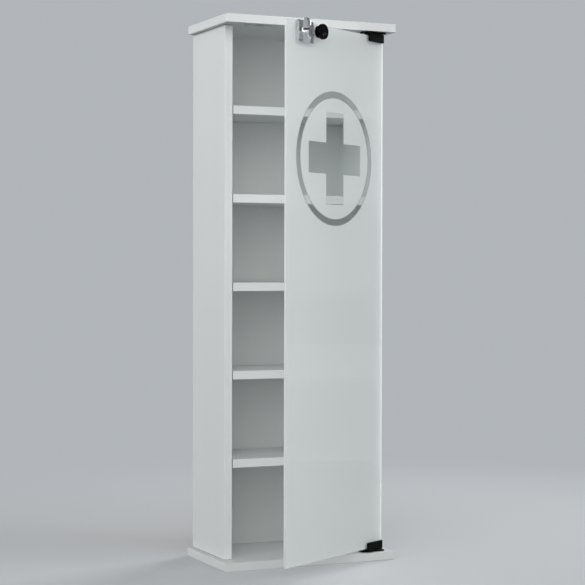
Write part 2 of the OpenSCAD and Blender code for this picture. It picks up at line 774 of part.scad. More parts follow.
// Bolt: a plate with the slot that the drive pin lifts it by, and a thicker tongue
module lock_bolt() color("silver") swung() at_lock() {
    slot_z = drive_r * sin(-45);
    slot_lo = drive_r * cos(-45) - drive_d / 2 - drive_clear;
    slot_hi = drive_r + drive_d / 2 + drive_clear;
    slot_h = drive_d + 2 * drive_clear;
    difference() {
        union() {
            translate([-bolt_plate_w / 2, bolt_plate_front, -bolt_plate_down])
                cube([bolt_plate_w, bolt_plate_t, bolt_plate_down + bolt_plate_up]);
            translate([-bolt_w / 2, bolt_plate_front, 0])
                cube([bolt_w, bolt_plate_t, tongue_start + 1]);
            translate([-bolt_w / 2, bolt_front, tongue_start])
                cube([bolt_w, bolt_t, bolt_tip - tongue_start]);
        }
        translate([slot_lo, bolt_plate_front - 1, slot_z - slot_h / 2])
            cube([slot_hi - slot_lo, bolt_plate_t + 2, slot_h]);
    }
}

// ---------------------------------------------------------------- knob

// Half section of the knob: x is the radius, y the distance in front of its washer
module knob_section() {
    r = knob_d / 2;
    neck = knob_neck_d / 2;
    difference() {
        union() {
            square([neck, 2.5]);
            square([neck - 2.5, knob_l - 3]);
            translate([0, knob_l - knob_head_t]) square([r - knob_rim_r, knob_head_t]);
            translate([0, knob_l - knob_head_t + knob_rim_r])
                square([r, knob_head_t - 2 * knob_rim_r]);
            for (y = [knob_l - knob_head_t + knob_rim_r, knob_l - knob_rim_r])
                translate([r - knob_rim_r, y]) circle(knob_rim_r);
        }
        translate([0, knob_l + 14]) circle(16.4);
        square([knob_screw_d / 2 + seat, knob_bore_l]);
    }
}

module door_knob() color("black") swung() at_knob() translate([0, -washer_t - seat, 0])
    rotate([90, 0, 0]) rotate_extrude() intersection() {
        knob_section();
        square([knob_d, knob_l]);
    }

// Screw from behind the glass into the knob
module knob_screw() color("silver") swung() at_knob() {
    head = glass_t + washer_t + 2 * seat;
    difference() {
        union() {
            bar_y(knob_screw_d, -washer_t - seat - knob_bore_l + 1, head + 0.5);
            bar_y(8.5, head, head + 2.2);
        }
        translate([0, head + 2.2, 0]) rotate([90, 0, 0]) cross_recess();
    }
}

module knob_washers() color("white", 0.6) swung() at_knob()
    for (y = [-washer_t - seat + 0.02, glass_t + seat - 0.02]) difference() {
        bar_y(knob_neck_d - 1, y, y + washer_t);
        bar_y(knob_screw_d + 0.4, y - 1, y + washer_t + 1);
    }

top_panel();
base_panel();
left_side_panel();
right_side_panel();
back_panel();
shelf_1();
shelf_2();
shelf_3();
shelf_4();
shelf_5();
shelf_pegs();
cam_bolts();
cam_locks();
dowels();
back_nails();
wall_brackets();
bracket_screws();
strike_plate();
strike_screws();
top_hinge_plate();
bottom_hinge_plate();
hinge_plate_screws();
glass_door();
top_hinge_clamp();
bottom_hinge_clamp();
hinge_clamp_liners();
hinge_bushes();
hinge_clamp_screws();
lock_body();
lock_back_plate();
lock_plate_screws();
lock_liner();
lock_grub_screws();
cylinder_retaining_pin();
lock_cylinder();
lock_bolt();
door_knob();
knob_screw();
knob_washers();
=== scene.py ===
"""Finishes, light and camera of a lockable medicine cabinet."""

import logging
import math
from dataclasses import dataclass
from enum import Enum
from typing import Iterable, Optional, Sequence, Union

import bpy
import numpy as np
from mathutils import Matrix


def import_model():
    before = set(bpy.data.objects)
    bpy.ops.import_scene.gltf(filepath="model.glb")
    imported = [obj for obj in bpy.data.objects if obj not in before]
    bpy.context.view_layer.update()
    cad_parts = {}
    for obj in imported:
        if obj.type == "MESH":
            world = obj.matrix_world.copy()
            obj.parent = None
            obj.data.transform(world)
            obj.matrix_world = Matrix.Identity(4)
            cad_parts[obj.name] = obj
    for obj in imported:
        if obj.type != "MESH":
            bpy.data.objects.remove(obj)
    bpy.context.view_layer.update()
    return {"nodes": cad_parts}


log = logging.getLogger("medicine_cabinet")

Colour = tuple[float, float, float]
Point = tuple[float, float, float]
Span = tuple[float, float]
Nodes = dict[str, bpy.types.Object]
Socket = bpy.types.NodeSocket
Value = Union[float, Socket]

WHITE: Colour = (1.0, 1.0, 1.0)


class Axis(Enum):
    """A direction of the cabinet's own frame."""

    X = 0
    Y = 1
    Z = 2


Planes = Iterable[tuple[Axis, float]]


@dataclass(frozen=True)
class DoorPlace:
    """Where the door hangs, in metres.

    Attributes:
        pivot: Where its pins stand, across and deep.
        angle: How far it stands open at rest, in radians.
        glass_half_thickness: Half the thickness of its glass.
    """

    pivot: tuple[float, float] = (0.146, -0.082)
    angle: float = math.radians(30.5)
    glass_half_thickness: float = 0.0025


class NodePad:
    """Lays out the nodes of one material or of the world."""

    def __init__(self, tree: bpy.types.NodeTree) -> None:
        """Clears a node tree and keeps it.

        Args:
            tree: The tree to fill.
        """
        self.tree = tree
        tree.nodes.clear()

    def add(self, kind: str, inputs: Optional[dict] = None, **settings) -> bpy.types.Node:
        """Adds a node.

        Args:
            kind: The node's type name.
            inputs: Socket names or indices, with the number, colour or socket for each.
            **settings: The node's own settings.

        Returns:
            The node.
        """
        node = self.tree.nodes.new(kind)
        for name, setting in settings.items():
            setattr(node, name, setting)
        for key, value in (inputs or {}).items():
            self.feed(node.inputs[key], value)
        return node

    def feed(self, socket: Socket, value: object) -> None:
        """Links a socket to another, or sets its own value.

        Args:
            socket: The socket that is fed.
            value: A socket, a number, a vector or a colour, to which an alpha of 1 is added.
        """
        if isinstance(value, bpy.types.NodeSocket):
            self.tree.links.new(value, socket)
        elif isinstance(value, tuple) and len(value) == 3 and len(socket.default_value) == 4:
            socket.default_value = (*value, 1.0)
        else:
            socket.default_value = value

    def math(self, kind: str, a: Value, b: Value = 0.0, c: Value = 0.0) -> Socket:
        """Adds a Math node.

        Args:
            kind: Its operation.
            a: Its first number.
            b: Its second number, where the operation has one.
            c: Its third number, where the operation has one.

        Returns:
            Its result.
        """
        node = self.add("ShaderNodeMath", {0: a, 1: b}, operation=kind)
        if len(node.inputs) > 2:
            self.feed(node.inputs[2], c)
        return node.outputs[0]

    def length(self, a: Value, b: Value) -> Socket:
        """Returns the square root of the sum of the squares of two numbers."""
        squares = self.math("ADD", self.math("MULTIPLY", a, a), self.math("MULTIPLY", b, b))
        return self.math("SQRT", squares)

    def ramp(self, value: Value, lo: float, hi: float, out_lo: float, out_hi: float) -> Socket:
        """Maps a number smoothly from one range to another, and holds it inside that.

        Args:
            value: The number.
            lo: Where its range begins.
            hi: Where its range ends.
            out_lo: The result at and before the beginning.
            out_hi: The result at and past the end.

        Returns:
            The mapped number.
        """
        return self.add(
            "ShaderNodeMapRange",
            {0: value, 1: lo, 2: hi, 3: out_lo, 4: out_hi},
            interpolation_type="SMOOTHSTEP",
        ).outputs[0]

    def rise(self, value: Value, start: float, end: float) -> Socket:
        """Returns 0 up to start, rising smoothly to 1 at end."""
        return self.ramp(value, start, end, 0.0, 1.0)

    def fall(self, value: Value, start: float, end: float, low: float = 0.0) -> Socket:
        """Returns 1 up to start, falling smoothly to low at end."""
        return self.ramp(value, start, end, 1.0, low)

    def near(self, value: Value, middle: float, half: float, soft: float) -> Socket:
        """Returns 1 within half of middle and 0 further off, fading over soft on either side."""
        off = self.math("ABSOLUTE", self.math("SUBTRACT", value, middle))
        return self.fall(off, half - soft, half + soft)

    def around(self, noise: Socket, middle: float, spread: float) -> Socket:
        """Returns a noise from 0 to 1 brought to lie around middle, over a width of spread."""
        return self.math("MULTIPLY_ADD", noise, spread, middle - spread / 2)

    def contrast(self, noise: Socket, soft: float = 0.2) -> Socket:
        """Returns a noise stretched so that it goes from 0 to 1 within soft of its middle."""
        return self.rise(noise, 0.5 - soft, 0.5 + soft)

    def mix(self, share: Value, a: object, b: object) -> Socket:
        """Mixes two colours.

        Args:
            share: How much of the second one there is.
            a: The colour where share is 0.
            b: The colour where share is 1.

        Returns:
            The mixed colour.
        """
        node = self.add("ShaderNodeMix", data_type="RGBA")
        self.feed(node.inputs["Factor"], share)
        for name, value in (("A", a), ("B", b)):
            socket = [s for s in node.inputs if s.name == name and s.type == "RGBA"][0]
            self.feed(socket, value)
        return [s for s in node.outputs if s.type == "RGBA"][0]

    def blend(self, share: Value, a: Socket, b: Socket) -> Socket:
        """Returns shader a where share is 0, and b where it is 1."""
        return self.add("ShaderNodeMixShader", {0: share, 1: a, 2: b}).outputs[0]

    def place(self) -> Socket:
        """Returns the object's own coordinates, in metres."""
        return self.add("ShaderNodeTexCoord").outputs["Object"]

    def split(self, vector: Socket) -> Sequence[Socket]:
        """Returns the three parts of a vector."""
        return self.add("ShaderNodeSeparateXYZ", {0: vector}).outputs

    def off_planes(self, parts: Sequence[Socket], planes: Planes) -> Value:
        """Works out the distance from a place to the nearest of some planes.

        Args:
            parts: The three parts of the place.
            planes: The axis that each plane is square to, and where it crosses it.

        Returns:
            The distance, or 1 where there are no planes.
        """
        nearest: Value = 1.0
        for axis, at in planes:
            gap = self.math("ABSOLUTE", self.math("SUBTRACT", parts[axis.value], at))
            nearest = self.math("MINIMUM", nearest, gap)
        return nearest

    def noise(self, where: Socket, size: float, detail: float = 3.0, rough: float = 0.5) -> Socket:
        """Adds noise from 0 to 1.

        Args:
            where: The coordinates that it is read at.
            size: The width of its blotches, in metres.
            detail: How many finer layers it has.
            rough: How strong those are.

        Returns:
            The noise as a number.
        """
        return self.add(
            "ShaderNodeTexNoise",
            {"Vector": where, "Scale": 1.0 / size, "Detail": detail, "Roughness": rough},
        ).outputs[0]

    def bump(self, height: Value, depth: float) -> Socket:
        """Returns a normal raised by a height from 0 to 1, whose full depth is in metres."""
        inputs = {"Strength": 1.0, "Distance": depth, "Height": height}
        return self.add("ShaderNodeBump", inputs).outputs[0]

    def principled(self, inputs: dict) -> Socket:
        """Returns a Principled shader with those inputs."""
        return self.add("ShaderNodeBsdfPrincipled", inputs).outputs[0]


def new_material(name: str) -> tuple[bpy.types.Material, NodePad]:
    """Makes an empty node material.

    Args:
        name: Its name.

    Returns:
        The material, and the pad that fills it.
    """
    material = bpy.data.materials.new(name)
    material.use_nodes = True
    return material, NodePad(material.node_tree)


def close(material: bpy.types.Material, pad: NodePad, surface: Socket) -> bpy.types.Material:
    """Ends a material with that surface, and returns it."""
    pad.add("ShaderNodeOutputMaterial", {"Surface": surface})
    return material


def dimmed(colour: Colour, share: float) -> Colour:
    """Returns a colour with that share of its light."""
    return tuple(share * part for part in colour)


@dataclass(frozen=True)
class BoardCoat:
    """White melamine on particle board: a fine grained skin and banded edges.

    Attributes:
        tint: The skin's colour.
        cloud: The width of the skin's faint clouds, in metres.
        cloud_tone: The share of light that the clouds keep.
        pore: The width of the skin's grain.
        relief: The depth of that grain.
        gloss: The skin's roughness.
        gloss_spread: How much the grain varies it.
        index: The skin's index of refraction.
        band: The thickness of an edge band.
        band_soft: The softness of its border, as a share of its thickness.
        band_tint: The edge bands' colour.
        seam_half: Half the width of the hairline at a band's border.
        seam_tint: The hairline's colour.
        seam_share: How strongly it shows.
        joint: From where to where the painted contact shadow beside a joint fades.
        joint_shadow_tint: The colour of that painted shadow.
        joint_shadow_share: How strongly it shows.
    """

    tint: Colour = (0.69, 0.716, 0.714)
    cloud: float = 0.22
    cloud_tone: float = 0.985
    pore: float = 0.0009
    relief: float = 0.00001
    gloss: float = 0.38
    gloss_spread: float = 0.1
    index: float = 1.48
    band: float = 0.001
    band_soft: float = 0.1
    band_tint: Colour = (0.70, 0.726, 0.724)
    seam_half: float = 0.00012
    seam_tint: Colour = (0.42, 0.42, 0.42)
    seam_share: float = 0.35
    joint: Span = (0.0003, 0.0022)
    joint_shadow_tint: Colour = (0.16, 0.16, 0.16)
    joint_shadow_share: float = 0.8

    def make(self, name: str, edges: Planes, joints: Planes = ()) -> bpy.types.Material:
        """Makes the coat of one board.

        The distance to the nearest banded edge is the least of the distances to the edges'
        planes. Within the band's thickness the band shows, and a hairline lies at its border.
        Painted shade darkens a board's cut rim close to where it meets another board.

        Args:
            name: The material's name.
            edges: The axis and place of each banded edge.
            joints: The axis and place of each joint with another board.

        Returns:
            The material.
        """
        material, pad = new_material(name)
        where = pad.place()
        parts = pad.split(where)
        clouds = pad.contrast(pad.noise(where, self.cloud, detail=2.0))
        grain = pad.noise(where, self.pore, detail=2.0)
        nearest = pad.off_planes(parts, edges)
        thin, thick = self.band * (1.0 - self.band_soft), self.band * (1.0 + self.band_soft)
        seam = pad.near(nearest, self.band, self.seam_half, self.seam_half / 2)
        # Painted contact shadow, darkest at a joint with another board.
        shade = pad.ramp(pad.off_planes(parts, joints), *self.joint, self.joint_shadow_share, 0.0)
        colour = pad.mix(clouds, self.tint, dimmed(self.tint, self.cloud_tone))
        colour = pad.mix(pad.fall(nearest, thin, thick), colour, self.band_tint)
        colour = pad.mix(pad.math("MULTIPLY", seam, self.seam_share), colour, self.seam_tint)
        surface = pad.principled(
            {
                "Base Color": pad.mix(shade, colour, self.joint_shadow_tint),
                "Roughness": pad.around(grain, self.gloss, self.gloss_spread),
                "IOR": self.index,
                "Normal": pad.bump(grain, self.relief),
            }
        )
        return close(material, pad, surface)


@dataclass(frozen=True)
class HardboardCoat:
    """Thin fibreboard: white lacquer on the inner face, bare and pressed brown outside.

    Attributes:
        lacquer: The inner face's colour.
        thin_lacquer: Its colour where the lacquer lies thin.
        thin_share: How strongly the thin places show.
        light_fibre: The bare board's lighter fibres.
        dark_fibre: Its darker fibres.
        pale_share: How strongly its pale patches show.
        fibre: The width of a clump of fibres, in metres.
        relief: The depth of the fibres.
        patch: The width of the patches.
        lacquer_gloss: The lacquer's roughness.
        bare_gloss: The bare board's roughness.
        outer_from: How far back the bare face lies.
        outer_soft: Half the softness of that border.
    """

    lacquer: Colour = (0.66, 0.68, 0.675)
    thin_lacquer: Colour = (0.64, 0.66, 0.655)
    thin_share: float = 0.3
    light_fibre: Colour = (0.42, 0.29, 0.18)
    dark_fibre: Colour = (0.27, 0.17, 0.10)
    pale_share: float = 0.25
    fibre: float = 0.0022
    relief: float = 0.00004
    patch: float = 0.06
    lacquer_gloss: float = 0.45
    bare_gloss: float = 0.7
    outer_from: float = 0.0988
    outer_soft: float = 0.0001

    def make(self) -> bpy.types.Material:
        """Makes the back panel's material.

        Returns:
            The material.
        """
        material, pad = new_material("thin_board")
        where = pad.place()
        deep = pad.split(where)[Axis.Y.value]
        border, soft = self.outer_from, self.outer_soft
        outside = pad.rise(deep, border - soft, border + soft)
        fibres = pad.noise(where, self.fibre, detail=5.0, rough=0.7)
        patches = pad.noise(where, self.patch)
        brown = pad.mix(pad.contrast(fibres), self.dark_fibre, self.light_fibre)
        pale = pad.math("MULTIPLY", patches, self.pale_share)
        brown = pad.mix(pale, brown, self.light_fibre)
        thin = pad.math("MULTIPLY", patches, self.thin_share)
        white = pad.mix(thin, self.lacquer, self.thin_lacquer)
        duller = self.bare_gloss - self.lacquer_gloss
        surface = pad.principled(
            {
                "Base Color": pad.mix(outside, white, brown),
                "Roughness": pad.math("MULTIPLY_ADD", outside, duller, self.lacquer_gloss),
                "Normal": pad.bump(fibres, self.relief),
            }
        )
        return close(material, pad, surface)


@dataclass(frozen=True)
class SatinGlass:
    """Toughened glass, etched on its inner face but for a clear ring and cross.

    The edge at the hinges is ground, and the others are polished.

    Attributes:
        place: Where the door hangs.
        centre: The motif's centre on the closed door, across and up, in metres.
        ring_radius: The radius of the ring's middle line.
        ring_half: Half the ring's width.
        cross_half: Half the cross's height and width.
        arm_half: Half the width of the cross's arms.
        outline_soft: Half the softness of the motif's outlines.
        rim_half: Half the width of the dark rims beside the ring.
        rim_soft: Half the softness of the rims.
        rim_tone: The share of light that the rims keep.
        half_width: Half the width of the glass.
        etched_skin: How far below the inner face the etching begins, and where it is full.
        ground_skin: The same, below the ground edge.
        index: The glass's index of refraction.
        tint: The light that the glass lets through.
        shadow_tint: The light that its rough places let through to what they shade.
        satin: The etched face's own colour.
        veil: The share of light that the etching scatters.
        ground_veil: The share that the ground edge scatters.
        through: The part of the scattered light that goes on through the etching.
        ground_through: The same, through the ground edge.
        sugar: The width of the etching's grain.
        blur: The roughness of the etched face.
        blur_spread: How much the grain varies it.
    """

    place: DoorPlace
    centre: tuple[float, float] = (-0.0020, 0.7642)
    ring_radius: float = 0.1180
    ring_half: float = 0.0051
    cross_half: float = 0.0852
    arm_half: float = 0.0287
    outline_soft: float = 0.00015
    rim_half: float = 0.0006
    rim_soft: float = 0.0001
    rim_tone: float = 0.3
    half_width: float = 0.159
    etched_skin: Span = (0.0003, 0.0001)
    ground_skin: Span = (0.0006, 0.0004)
    index: float = 1.5
    tint: Colour = (0.972, 0.985, 0.982)
    shadow_tint: Colour = (0.52, 0.54, 0.55)
    satin: Colour = (0.94, 0.953, 0.953)
    veil: float = 0.82
    ground_veil: float = 0.95
    through: float = 0.35
    ground_through: float = 0.7
    sugar: float = 0.0006
    blur: float = 0.45
    blur_spread: float = 0.1

    def closed_place(self, pad: NodePad) -> Sequence[Socket]:
        """Finds the surface's place on the closed door, from the motif's centre.

        The object's place is turned back by the resting angle about the pins, which the
        Mapping node does as a turn about the origin and a shift.

        Args:
            pad: The material's pad.

        Returns:
            How far a point lies right of the centre, behind the glass's middle and above
            the centre.
        """
        turn = -self.place.angle
        px, py = self.place.pivot
        shift = (
            px - (px * math.cos(turn) - py * math.sin(turn)) - self.centre[0],
            -(px * math.sin(turn) + py * math.cos(turn)),
            -self.centre[1],
        )
        mapped = pad.add(
            "ShaderNodeMapping",
            {"Vector": pad.place(), "Location": shift, "Rotation": (0.0, 0.0, turn)},
        )
        return pad.split(mapped.outputs[0])

    def motif(self, pad: NodePad, x: Socket, z: Socket) -> tuple[Socket, Socket]:
        """Draws the ring and the cross.

        The ring is where the distance from the centre is near its radius, and its rims are
        the lines just outside that. The cross is the union of an upright and a lying bar.

        Args:
            pad: The material's pad.
            x: How far a point lies to the right of the motif's centre.
            z: How far it lies above it.

        Returns:
            A number that is 1 on the ring and the cross, and one that is 1 on the rims.
        """
        soft = self.outline_soft
        off = pad.math("ABSOLUTE", pad.math("SUBTRACT", pad.length(x, z), self.ring_radius))
        ring = pad.fall(off, self.ring_half - soft, self.ring_half + soft)
        rims = pad.near(off, self.ring_half + self.rim_half, self.rim_half, self.rim_soft)
        bars = []
        for along, across in ((z, x), (x, z)):
            reach = pad.near(along, 0.0, self.cross_half, soft)
            width = pad.near(across, 0.0, self.arm_half, soft)
            bars.append(pad.math("MULTIPLY", reach, width))
        return pad.math("MAXIMUM", ring, pad.math("MAXIMUM", *bars)), rims

    def rough_places(self, pad: NodePad) -> tuple[Socket, Socket, Socket]:
        """Finds where the glass is rough.

        The inner face is etched but for the motif, and the hinged edge is ground.

        Args:
            pad: The material's pad.

        Returns:
            A number that is 1 on the etching and the ground edge, one that is 1 on the
            ground edge alone, and one that is 1 on the motif's rims.
        """
        x, y, z = self.closed_place(pad)
        face, edge = self.place.glass_half_thickness, self.half_width
        inner = pad.rise(y, *(face - below for below in self.etched_skin))
        clear, rims = self.motif(pad, x, z)
        from_middle = pad.math("ADD", x, self.centre[0])
        ground = pad.rise(from_middle, *(edge - below for below in self.ground_skin))
        etched = pad.math("MULTIPLY", inner, pad.math("SUBTRACT", 1.0, clear))
        return pad.math("MAXIMUM", etched, ground), ground, rims

    def make(self) -> bpy.types.Material:
        """Makes the door's material.

        Clear glass is blended with a veil that scatters light forwards and back. To the
        light that casts shadows it is a plain tint.

        Returns:
            The material.
        """
        material, pad = new_material("frosted_glass")
        rough, ground, rims = self.rough_places(pad)
        fine = pad.noise(pad.place(), self.sugar, detail=2.0)
        grain = pad.around(fine, self.blur, self.blur_spread)
        inputs = {
            "Color": self.tint,
            "Roughness": pad.math("MULTIPLY", rough, grain),
            "IOR": self.index,
        }
        glass = pad.add("ShaderNodeBsdfGlass", inputs).outputs[0]
        satin = pad.mix(rims, self.satin, dimmed(self.satin, self.rim_tone))
        back = pad.add("ShaderNodeBsdfDiffuse", {"Color": satin}).outputs[0]
        forwards = pad.add("ShaderNodeBsdfTranslucent", {"Color": satin}).outputs[0]
        more_through = self.ground_through - self.through
        onward = pad.math("MULTIPLY_ADD", ground, more_through, self.through)
        more_veil = self.ground_veil - self.veil
        share = pad.math("MULTIPLY_ADD", ground, more_veil, self.veil)
        veil = pad.blend(onward, back, forwards)
        body = pad.blend(pad.math("MULTIPLY", rough, share), glass, veil)
        shadow = pad.add("ShaderNodeLightPath").outputs["Is Shadow Ray"]
        shadow_tint = pad.mix(rough, self.tint, self.shadow_tint)
        passed = pad.add("ShaderNodeBsdfTransparent", {"Color": shadow_tint}).outputs[0]
        return close(material, pad, pad.blend(shadow, body, passed))


@dataclass(frozen=True)
class MetalCoat:
    """A metal surface with fine brushing or casting grain.

    Attributes:
        name: The material's name.
        tint: The metal's colour.
        gloss: Its middle roughness.
        spread: How much the roughness varies.
        grain: The width of its grain, in metres.
        depth: The depth of its grain.
        cloud: The width of its dull clouds, in widths of its grain.
        cloud_tone: The share of light that the clouds keep.
    """

    name: str
    tint: Colour
    gloss: float
    spread: float
    grain: float
    depth: float
    cloud: float = 14.0
    cloud_tone: float = 0.9

    def make(self) -> bpy.types.Material:
        """Makes the metal's material.

        Returns:
            The material.
        """
        material, pad = new_material(self.name)
        where = pad.place()
        fine = pad.noise(where, self.grain, detail=4.0, rough=0.6)
        clouds = pad.contrast(pad.noise(where, self.grain * self.cloud, detail=2.0))
        surface = pad.principled(
            {
                "Base Color": pad.mix(clouds, self.tint, dimmed(self.tint, self.cloud_tone)),
                "Metallic": 1.0,
                "Roughness": pad.around(fine, self.gloss, self.spread),
                "Normal": pad.bump(fine, self.depth),
            }
        )
        return close(material, pad, surface)


@dataclass(frozen=True)
class PlainCoat:
    """A moulded, painted or rubber surface.

    Attributes:
        name: The material's name.
        tint: Its colour.
        gloss: Its middle roughness.
        grain: The width of its skin's grain, in metres.
        depth: The depth of that grain.
        lacquer: The strength of a clear layer over it.
        clear: The share of light that passes through it.
        shine: The strength of its own gloss, 0.5 being that of plain plastic.
        spread: How much the roughness varies.
        cloud: The width of its pale clouds, in widths of its grain.
        bloom: How many times as light the clouds are.
        dust: The light that they add to that.
        lacquer_gloss: The roughness of the clear layer.
    """

    name: str
    tint: Colour
    gloss: float
    grain: float = 0.0006
    depth: float = 0.00001
    lacquer: float = 0.0
    clear: float = 0.0
    shine: float = 0.5
    spread: float = 0.08
    cloud: float = 20.0
    bloom: float = 1.12
    dust: float = 0.001
    lacquer_gloss: float = 0.05

    def make(self) -> bpy.types.Material:
        """Makes the coat's material.

        Returns:
            The material.
        """
        material, pad = new_material(self.name)
        where = pad.place()
        fine = pad.noise(where, self.grain)
        clouds = pad.noise(where, self.grain * self.cloud, detail=2.0)
        pale = tuple(min(1.0, self.bloom * part + self.dust) for part in self.tint)
        surface = pad.principled(
            {
                "Base Color": pad.mix(clouds, self.tint, pale),
                "Roughness": pad.around(fine, self.gloss, self.spread),
                "Specular IOR Level": self.shine,
                "Coat Weight": self.lacquer,
                "Coat Roughness": self.lacquer_gloss,
                "Transmission Weight": self.clear,
                "Normal": pad.bump(fine, self.depth),
            }
        )
        return close(material, pad, surface)


@dataclass(frozen=True)
class DowelWood:
    """Beech, with its grain along the dowel.

    Attributes:
        light: The colour between the rays.
        dark: The colour of the grain.
        grain: The width of the grain, in metres.
        stretch: That width over the grain's length.
        relief: The depth of the grain.
        gloss: The wood's middle roughness.
        spread: How much the roughness varies.
    """

    light: Colour = (0.66, 0.47, 0.29)
    dark: Colour = (0.48, 0.31, 0.17)
    grain: float = 0.0007
    stretch: float = 0.08
    relief: float = 0.00005
    gloss: float = 0.625
    spread: float = 0.15

    def make(self) -> bpy.types.Material:
        """Makes the dowels' material.

        Returns:
            The material.
        """
        material, pad = new_material("beech")
        inputs = {"Vector": pad.place(), "Scale": (1.0, 1.0, self.stretch)}
        stretched = pad.add("ShaderNodeMapping", inputs).outputs[0]
        grain = pad.noise(stretched, self.grain, detail=4.0, rough=0.65)
        surface = pad.principled(
            {
                "Base Color": pad.mix(pad.contrast(grain, 0.15), self.dark, self.light),
                "Roughness": pad.around(grain, self.gloss, self.spread),
                "Normal": pad.bump(grain, self.relief),
            }
        )
        return close(material, pad, surface)


ZINC_PLATE = MetalCoat(
    "zinc_plate", tint=(0.62, 0.63, 0.65), gloss=0.3, spread=0.14, grain=0.0012, depth=0.00001
)
SATIN_CHROME = MetalCoat(
    "satin_chrome", tint=(0.765, 0.775, 0.785), gloss=0.17, spread=0.08, grain=0.002, depth=0.000005
)
CHROME_PLATE = MetalCoat(
    "chrome_plate", tint=(0.765, 0.775, 0.785), gloss=0.09, spread=0.05, grain=0.003, depth=0.000003
)
BLACK_METAL = PlainCoat(
    "black_metal", tint=(0.002, 0.002, 0.002), gloss=0.45, grain=0.0004, depth=0.00003, shine=0.04
)
BLACK_PLASTIC = PlainCoat(
    "black_plastic",
    tint=(0.0005, 0.0005, 0.0005),
    gloss=0.08,
    grain=0.0008,
    depth=0.000003,
    lacquer=0.25,
    shine=0.0,
)
BLACK_RUBBER = PlainCoat("black_rubber", tint=(0.022, 0.022, 0.023), gloss=0.7)
BLACK_NYLON = PlainCoat("nylon", tint=(0.012, 0.012, 0.012), gloss=0.4, shine=0.2)
CLEAR_PLASTIC = PlainCoat("clear_plastic", tint=(0.75, 0.78, 0.79), gloss=0.3, clear=0.5)


def dress(nodes: Nodes, material: bpy.types.Material, *names: str) -> None:
    """Gives every material slot of some nodes one material.

    Args:
        nodes: The frame's nodes by name.
        material: The material.
        *names: The nodes that get it.
    """
    for name in names:
        node = nodes[name]
        if not node.material_slots:
            node.data.materials.append(material)
        for slot in node.material_slots:
            slot.material = material
        log.info("%s: %s", name, material.name)


def ease_edges(
    nodes: Nodes, width: float, *names: str, facets: int = 2, sharp_from: float = 35.0
) -> None:
    """Breaks the sharp edges of some nodes.

    Blender narrows the broken edge of a whole node to what its closest corners leave room
    for. That is 0.007 to 0.022 mm on all but the lock's bolt, so their edges stay sharp to
    the eye. The shading is weighed by area afterwards, so that the large faces stay flat.

    Args:
        nodes: The frame's nodes by name.
        width: The most that the broken edge may be wide, in metres.
        *names: The nodes that get it.
        facets: How many facets round it.
        sharp_from: The angle between two faces from which their edge is broken, in degrees.
    """
    for name in names:
        modifiers = nodes[name].modifiers
        weld = modifiers.new("weld", "WELD")
        weld.merge_threshold = 1e-6
        bevel = modifiers.new("eased_edges", "BEVEL")
        bevel.width = width
        bevel.segments = facets
        bevel.limit_method = "ANGLE"
        bevel.angle_limit = math.radians(sharp_from)
        bevel.harden_normals = True
        shading = modifiers.new("flat_faces", "WEIGHTED_NORMAL")
        shading.keep_sharp = True


@dataclass
class Carcass:
    """The boards, the back and the fittings that join them.

    Attributes:
        nodes: The frame's nodes by name.
        half_width: Half the width of the top and base boards, in metres.
        front: Where their front edges lie.
        back: Where the boards' back edges lie.
        side_front: Where the sides' and shelves' front edges lie.
        between: The heights at which the sides meet the base and the top.
        half_inside: Half the width between the sides.
        shelves: How many shelves there are.
        pressed_edge: The most that the fittings' eased edges may be wide.
        coat: The boards' coat.
    """

    nodes: Nodes
    half_width: float = 0.175
    front: float = -0.1
    back: float = 0.1
    side_front: float = -0.064
    between: Span = (0.016, 1.014)
    half_inside: float = 0.148
    shelves: int = 5
    pressed_edge: float = 0.0002
    coat: BoardCoat = BoardCoat()

    def dress_boards(self) -> None:
        """Gives each board its coat, with the bands on the edges that have them."""
        ends = ((Axis.X, -self.half_width), (Axis.X, self.half_width))
        depths = ((Axis.Y, self.front), (Axis.Y, self.back))
        front_band = ((Axis.Y, self.side_front),)
        floors = tuple((Axis.Z, height) for height in self.between)
        walls = ((Axis.X, -self.half_inside), (Axis.X, self.half_inside))
        plates = self.coat.make("coated_board_ends", ends + depths)
        dress(self.nodes, plates, "top_panel", "base_panel")
        # Painted contact shadow where the sides meet the base and top, and where shelves meet the
        # sides.
        uprights = self.coat.make("coated_board", front_band, floors)
        dress(self.nodes, uprights, "left_side_panel", "right_side_panel")
        levels = self.coat.make("coated_shelf", front_band, walls)
        dress(self.nodes, levels, *(f"shelf_{number + 1}" for number in range(self.shelves)))
        dress(self.nodes, HardboardCoat().make(), "back_panel")

    def dress_fittings(self, zinc: bpy.types.Material) -> None:
        """Gives the fittings their metal and the dowels their wood.

        Args:
            zinc: The fittings' material.
        """
        dress(
            self.nodes,
            zinc,
            "shelf_pegs",
            "cam_bolts",
            "cam_locks",
            "back_nails",
            "wall_brackets",
            "bracket_screws",
            "strike_plate",
            "strike_screws",
        )
        dress(self.nodes, DowelWood().make(), "dowels")
        ease_edges(self.nodes, self.pressed_edge, "wall_brackets", "strike_plate")


